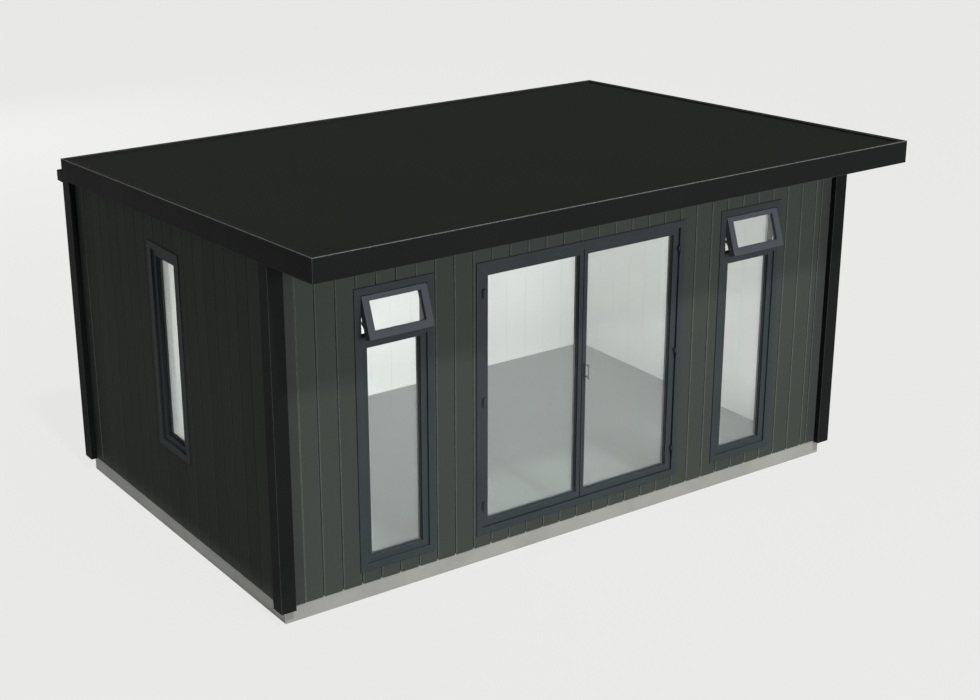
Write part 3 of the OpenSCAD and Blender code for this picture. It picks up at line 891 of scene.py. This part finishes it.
# %% Mitred ring
def mitred_ring(low, high, bars, depth, soft, move=None, into=None):
    """Four bars round an opening, in X and Z. bars = widths of left, right, bottom and top."""
    (x0, y0, z0), (x1, _, z1) = low, high
    left, right, bottom, top = bars
    outer = [(x0, z0), (x1, z0), (x1, z1), (x0, z1)]
    inner = [(x0 + left, z0 + bottom), (x1 - right, z0 + bottom),
             (x1 - right, z1 - top), (x0 + left, z1 - top)]
    ring = into or fresh()
    for n in range(4):
        after = (n + 1) % 4
        corners = [outer[n], outer[after], inner[n], inner[after]]
        part = fresh()
        add_block(part, (min(c[0] for c in corners), y0, min(c[1] for c in corners)),
                  (max(c[0] for c in corners), y0 + depth, max(c[1] for c in corners)))
        middle = Vector((sum(c[0] for c in corners) / 4, 0, sum(c[1] for c in corners) / 4))
        for end in (n, after):
            point = Vector((outer[end][0], 0, outer[end][1]))
            along = Vector((inner[end][0], 0, inner[end][1])) - point
            outwards = Vector((along.z, 0, -along.x))
            if outwards.dot(middle - point) > 0:
                outwards.negate()
            saw_off(part, point, outwards)
        soften(part, corner_edges(part, 20), soft)
        pour(part, ring, move)
    return ring


def ring_inside(low, high, inset, bars, y0, depth, soft, move, into):
    """A ring whose outside lies inset from the given corners."""
    (x0, _, z0), (x1, _, z1) = low, high
    return mitred_ring((x0 + inset, y0, z0 + inset), (x1 - inset, y0, z1 - inset), bars, depth,
                       soft, move, into)


print("mitred rings ready")

# %% [markdown]
# Every frame has the same section: a bar of 48 mm, a groove of a few millimetres, then the sash
# with the glass set deep in it. The sizes come from the boxes of the leaf and of its glass. Only
# what the model leaves out has its own numbers: the rounding of the bars, the room for the rubber
# seals, the beads, and the fanlight's own gap, top bar and pane.

# %% Frame sizes
door_low, door_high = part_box("door_frame")
leaf_low, leaf_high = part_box("left_door_leaf")
pane_low, pane_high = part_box("left_door_glass")
leaf_gap = 5 * mm
frame_bar = leaf_low.x - leaf_gap - door_low.x
sash_bar = pane_low.x - leaf_low.x
stile_bar = leaf_high.x - pane_high.x
frame_depth = door_high.y - door_low.y
sash_setback = leaf_low.y - door_low.y
sash_depth = leaf_high.y - leaf_low.y
frame_soft = 1.2 * mm
sash_soft = 1.4 * mm
seal_room = 3.2 * mm
bead_depth = 9 * mm
bead_shy = 0.5 * mm
fan_low, fan_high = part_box("fanlight_stays")[0].z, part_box("fanlight_stays")[1].z
fan_gap = 4 * mm
fan_top_bar = 30 * mm
fan_pane = 14 * mm
transom_top = fan_low - fan_gap
print("frame bar", round(frame_bar, 4), "sash bar", round(sash_bar, 4), "stile", round(stile_bar, 4))

# %% Sealed panes, beads and seals
def sealed_pane(low, high, panes, bars_out, seals, move=None):
    """Two sheets of glass, the bar between them, and a rubber line at both faces."""
    sheet, slack, touch = 4 * mm, 0.4 * mm, 0.1 * mm
    inset = Vector((slack, 0, slack))
    for y0 in (low.y, high.y - sheet):
        part = fresh()
        add_block(part, Vector((low.x, y0, low.z)) + inset,
                  Vector((high.x, y0 + sheet, high.z)) - inset)
        soften(part, part.edges[:], 0.4 * mm, segments=1)
        pour(part, panes, move)
    spacer = (7 * mm,) * 4
    ring_inside(low, high, slack, spacer, low.y + sheet + touch,
                high.y - low.y - 2 * sheet - 2 * touch, 0.3 * mm, move, bars_out)
    lip = (4 * mm,) * 4
    rubber_depth = 3 * mm
    for y0 in (low.y - rubber_depth - touch, high.y + touch):
        ring_inside(low, high, touch, lip, y0, rubber_depth, 0.8 * mm, move, seals)


def glazing_bead(low, high, y0, y1, bead, move=None):
    """A slim bar that holds the pane in its sash, drawn from y0 to y1."""
    bead_bars = (5.5 * mm,) * 4
    ring_inside(low, high, 0.1 * mm, bead_bars, y0, y1 - y0, 1.6 * mm, move, bead)


print("pane helpers ready")

# %% [markdown]
# The door is a fixed frame with two glazed leaves. Each leaf is a ring with a slim bar where the
# two meet, and that bar is planed back a little on the inside so that it swings clear.

# %% Door frame and leaves
planed_off = 4 * mm


def planed_edge(bm, x, y, slant):
    """Moves the inner corner of a meeting edge back by the slant."""
    near = 3 * mm
    inner = [v for v in bm.verts if abs(v.co.x - x) < near and v.co.y > y - near]
    bmesh.ops.translate(bm, vec=(slant, 0, 0), verts=inner)


frame_ring = mitred_ring(door_low, door_high, (frame_bar,) * 4, frame_depth, frame_soft)
finish("door_surround", frame_ring, frame_coat, replaces=["door_frame"])

for side, sign in (("left", 1), ("right", -1)):
    low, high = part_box(side + "_door_leaf")
    bars = (sash_bar, stile_bar) if side == "left" else (stile_bar, sash_bar)
    leaf = mitred_ring(low, high, (*bars, sash_bar, sash_bar), sash_depth, sash_soft)
    planed_edge(leaf, high.x if side == "left" else low.x, high.y, -planed_off * sign)
    glass_low, glass_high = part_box(side + "_door_glass")
    bead_back = glass_low.y - seal_room
    glazing_bead(glass_low, glass_high, bead_back - bead_depth, bead_back, leaf)
    inner_face = glass_high.y + seal_room
    glazing_bead(glass_low, glass_high, inner_face, high.y - bead_shy, leaf)
    body = side + "_leaf"
    finish(side + "_leaf_frame", leaf, frame_coat, body, [side + "_door_leaf"])
    panes, spacers, seals = fresh(), fresh(), fresh()
    sealed_pane(glass_low, glass_high, panes, spacers, seals)
    finish(side + "_leaf_panes", panes, glass, body, [side + "_door_glass"])
    finish(side + "_leaf_spacer", spacers, spacer_bar, body)
    finish(side + "_leaf_seals", seals, rubber, body)

# %% [markdown]
# The tall windows have a fixed lower pane and a small fanlight above it. All of it is drawn in a
# plain frame first, so the same function also makes the narrow window in the end wall, which has
# no fanlight and is turned by a quarter.

# %% Windows
stop_setback = 57 * mm
stop_depth = 12.5 * mm
stop_bars = (18 * mm, 18 * mm, 10 * mm, 32 * mm)
transom_setback = 0.6 * mm


def rebate_stop(low, high, bottom, face, bm):
    """The slim stop behind a fanlight, which its seal shuts against."""
    mitred_ring((low.x + frame_bar, face + stop_setback, bottom),
                Vector((high.x - frame_bar, 0, high.z - frame_bar)),
                stop_bars, stop_depth, 1 * mm, into=bm)


def window(name, low, high, node_low, node_high, transom, move=None):
    """A frame round one fixed pane, with a bar across it if there is a fanlight above."""
    face = low.y
    bm = mitred_ring(low, high, (frame_bar,) * 4, frame_depth, frame_soft, move)
    inside_x = (low.x + frame_bar, high.x - frame_bar)
    sash_top = high.z - frame_bar
    top_bar = sash_bar
    if transom:
        sash_top = node_high.z + sash_bar / 2
        top_bar = sash_bar / 2
        add_soft_block(bm, (inside_x[0], face + transom_setback, sash_top),
                       (inside_x[1], face + frame_depth, transom), frame_soft, move)
        rebate_stop(low, high, transom, face, bm)
    fixed_low = Vector((inside_x[0], 0, low.z + frame_bar))
    fixed_high = Vector((inside_x[1], 0, sash_top))
    mitred_ring((fixed_low.x, face + sash_setback, fixed_low.z), fixed_high,
                (sash_bar, sash_bar, sash_bar, top_bar), sash_depth, sash_soft, move, bm)
    bead_back = node_low.y - seal_room
    glazing_bead(node_low, node_high, bead_back - bead_depth, bead_back, bm, move)
    glazing_bead(node_low, node_high, node_high.y + seal_room,
                 face + sash_setback + sash_depth - bead_shy, bm, move)
    finish(name + "_window_bars", bm, frame_coat, replaces=[name + "_window_frame"])
    panes, spacers, seals = fresh(), fresh(), fresh()
    sealed_pane(node_low, node_high, panes, spacers, seals, move)
    finish(name + "_window_panes", panes, glass, replaces=[name + "_window_glass"])
    finish(name + "_window_spacer", spacers, spacer_bar)
    finish(name + "_window_seals", seals, rubber)


for side in ("left", "right"):
    window(side, *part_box(side + "_window_frame"), *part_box(side + "_window_glass"), transom_top)

to_left_end = Matrix.Rotation(math.radians(-90), 4, "Z")
from_left_end = to_left_end.inverted()


def faced_front(node):
    """The corners of a node in the left end, turned to face the front."""
    low, high = (from_left_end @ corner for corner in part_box(node))
    return (Vector(map(min, low, high)), Vector(map(max, low, high)))


window("side", *faced_front("side_window_frame"), *faced_front("side_window_glass"), None, to_left_end)

# %% [markdown]
# The fanlights stand open. They hang from their top outside edge, so each is drawn shut and then
# turned about that edge. The angle is worked out from how far the open sash reaches out.

# %% Fanlights
def fanlight(side):
    """An open fanlight sash with its pane."""
    low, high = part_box(side + "_fanlight")
    height = fan_high - fan_low
    angle = math.asin((door_low.y - low.y) / height)
    depth = (high.y - door_low.y) / math.cos(angle)
    hang = Vector((0, door_low.y, fan_high))
    swing = (Matrix.Translation(hang) @ Matrix.Rotation(-angle, 4, "X")
             @ Matrix.Translation(-hang))
    shut_low = Vector((low.x, door_low.y, fan_low))
    shut_high = Vector((high.x, door_low.y, fan_high))
    bars = (sash_bar, sash_bar, sash_bar, fan_top_bar)
    sash = mitred_ring(shut_low, shut_high, bars, depth, sash_soft, swing)
    pane_low = shut_low + Vector((sash_bar, (depth - fan_pane) / 2, sash_bar))
    pane_high = shut_high - Vector((sash_bar, -(depth + fan_pane) / 2, fan_top_bar))
    glazing_bead(pane_low, pane_high, shut_low.y + 1 * mm, pane_low.y - seal_room, sash, swing)
    # The sash takes the lighter copy of the frame coat, which paints light on it.
    finish(side + "_fanlight_sash", sash, lit_fanlight_coat, replaces=[side + "_fanlight"])
    print(side, "fanlight opens", round(math.degrees(angle), 1), "degrees")
    return pane_low, pane_high, swing


panes, spacers, seals = fresh(), fresh(), fresh()
for side in ("left", "right"):
    low, high, swing = fanlight(side)
    sealed_pane(low, high, panes, spacers, seals, swing)
finish("fanlight_panes", panes, glass, replaces=["fanlight_glass"])
finish("fanlight_spacers", spacers, spacer_bar)
finish("fanlight_seals", seals, rubber)

# %% [markdown]
# A line of black sealant runs round each frame, where it meets the boards. It stands a hair proud
# of the boards, so that it also closes the ends of the grooves.

# %% Sealant round the frames
def sealant(name, low, high, face, move=None):
    """A slim rubber line round the outside of a frame."""
    width, proud = 4 * mm, 1.2 * mm
    around = Vector((width, 0, width))
    bm = mitred_ring((low.x - width, face - proud, low.z - width), high + around, (width,) * 4,
                     6 * mm, 1 * mm, move)
    finish(name + "_sealant", bm, rubber)


sealant("door", door_low, door_high, front_low.y)
for side in ("left", "right"):
    sealant(side + "_window", *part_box(side + "_window_frame"), front_low.y)
sealant("side_window", *faced_front("side_window_frame"), left_face, to_left_end)

# %% [markdown]
# The hardware is small and round, so its curves are kept and only the corners are eased: hinges in
# the colour of the frames, steel stays for the fanlights, and a satin steel bar handle.

# %% Hinges, stays and handle
carry_over("frame_hinges", "hinge_pins", frame_coat, 0.5 * mm)
carry_over("left_leaf_hinges", "left_hinge_leaves", frame_coat, 0.5 * mm, "left_leaf")
carry_over("right_leaf_hinges", "right_hinge_leaves", frame_coat, 0.5 * mm, "right_leaf")
carry_over("fanlight_stays", "stay_arms", satin_steel, 0.4 * mm)
carry_over("door_handle", "bar_handle", satin_steel, 0.8 * mm, "right_leaf")

# %% [markdown]
# Last, the visible pieces are measured as one box, and its size is printed. Nothing drawn here is
# meant to stand further out than the model does.

# %% Measure the size
low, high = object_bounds()
print("visual model", [round(v, 3) for v in high - low])
